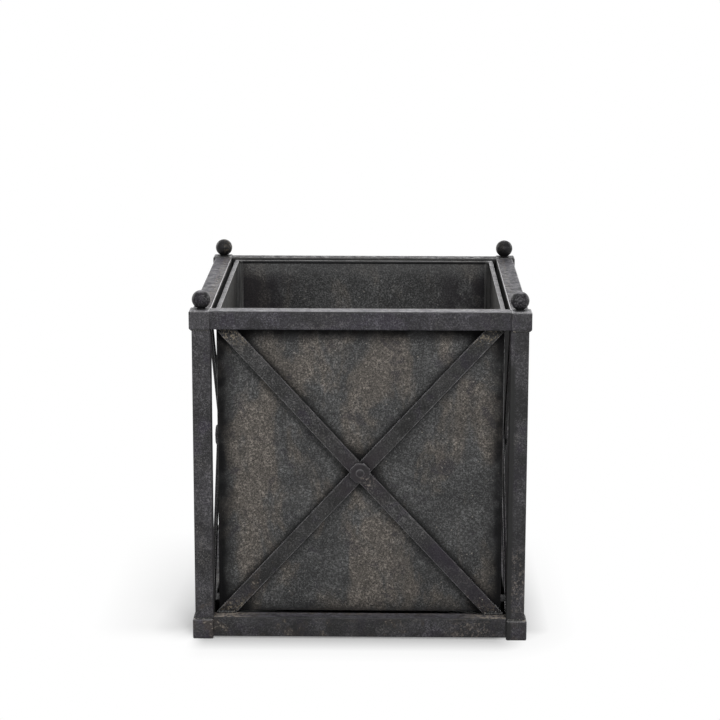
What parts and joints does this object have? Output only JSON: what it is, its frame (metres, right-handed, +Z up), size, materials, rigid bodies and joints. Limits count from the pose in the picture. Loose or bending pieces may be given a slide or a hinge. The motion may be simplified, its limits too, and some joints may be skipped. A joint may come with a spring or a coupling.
{
  "type": "versailles planter",
  "caption": "Square iron planter box: welded tube cage with corner blocks, ball finials, crossed flat bars with rosettes, and a lift-out sheet-metal liner.",
  "frame": {"origin": "on the floor, under the middle of the planter", "axes": "+Z up; the front faces -Y; +X to the right seen from the front"},
  "size_m": [0.46, 0.46, 0.4865],
  "materials": {
    "iron": "antique black patina, matt, with worn edges",
    "forged_iron": "antique black patina, matt, rubbed brighter on edges",
    "liner_sheet": "blackened sheet with a mottled warm grey patina"
  },
  "bodies": {
    "planter_frame": {"post_front_left": "iron", "post_front_right": "iron", "post_back_left": "iron", "post_back_right": "iron", "top_rail_front": "iron", "top_rail_right": "iron", "top_rail_back": "iron", "top_rail_left": "iron", "base_rail_front": "iron", "base_rail_right": "iron", "base_rail_back": "iron", "base_rail_left": "iron", "top_block_front_left": "forged_iron", "top_block_front_right": "forged_iron", "top_block_back_left": "forged_iron", "top_block_back_right": "forged_iron", "foot_block_front_left": "forged_iron", "foot_block_front_right": "forged_iron", "foot_block_back_left": "forged_iron", "foot_block_back_right": "forged_iron", "ball_finial_front_left": "forged_iron", "ball_finial_front_right": "forged_iron", "ball_finial_back_left": "forged_iron", "ball_finial_back_right": "forged_iron", "outer_bar_front": "iron", "outer_bar_right": "iron", "outer_bar_back": "iron", "outer_bar_left": "iron", "inner_bar_front": "iron", "inner_bar_right": "iron", "inner_bar_back": "iron", "inner_bar_left": "iron", "rosette_front": "forged_iron", "rosette_right": "forged_iron", "rosette_back": "forged_iron", "rosette_left": "forged_iron", "rivet_front": "forged_iron", "rivet_right": "forged_iron", "rivet_back": "forged_iron", "rivet_left": "forged_iron", "liner_slat_front": "iron", "liner_slat_middle": "iron", "liner_slat_back": "iron"},
    "liner": {"liner_wall_front": "liner_sheet", "liner_wall_right": "liner_sheet", "liner_wall_back": "liner_sheet", "liner_wall_left": "liner_sheet", "liner_corner_front_left": "liner_sheet", "liner_corner_front_right": "liner_sheet", "liner_corner_back_left": "liner_sheet", "liner_corner_back_right": "liner_sheet", "liner_rim_front": "liner_sheet", "liner_rim_right": "liner_sheet", "liner_rim_back": "liner_sheet", "liner_rim_left": "liner_sheet", "liner_base": "liner_sheet"}
  },
  "joints": [
    {"name": "liner_lift", "type": "slide", "parent": "planter_frame", "child": "liner", "axis": [0, 0, 1], "range_m": [0, 0.47]}
  ]
}
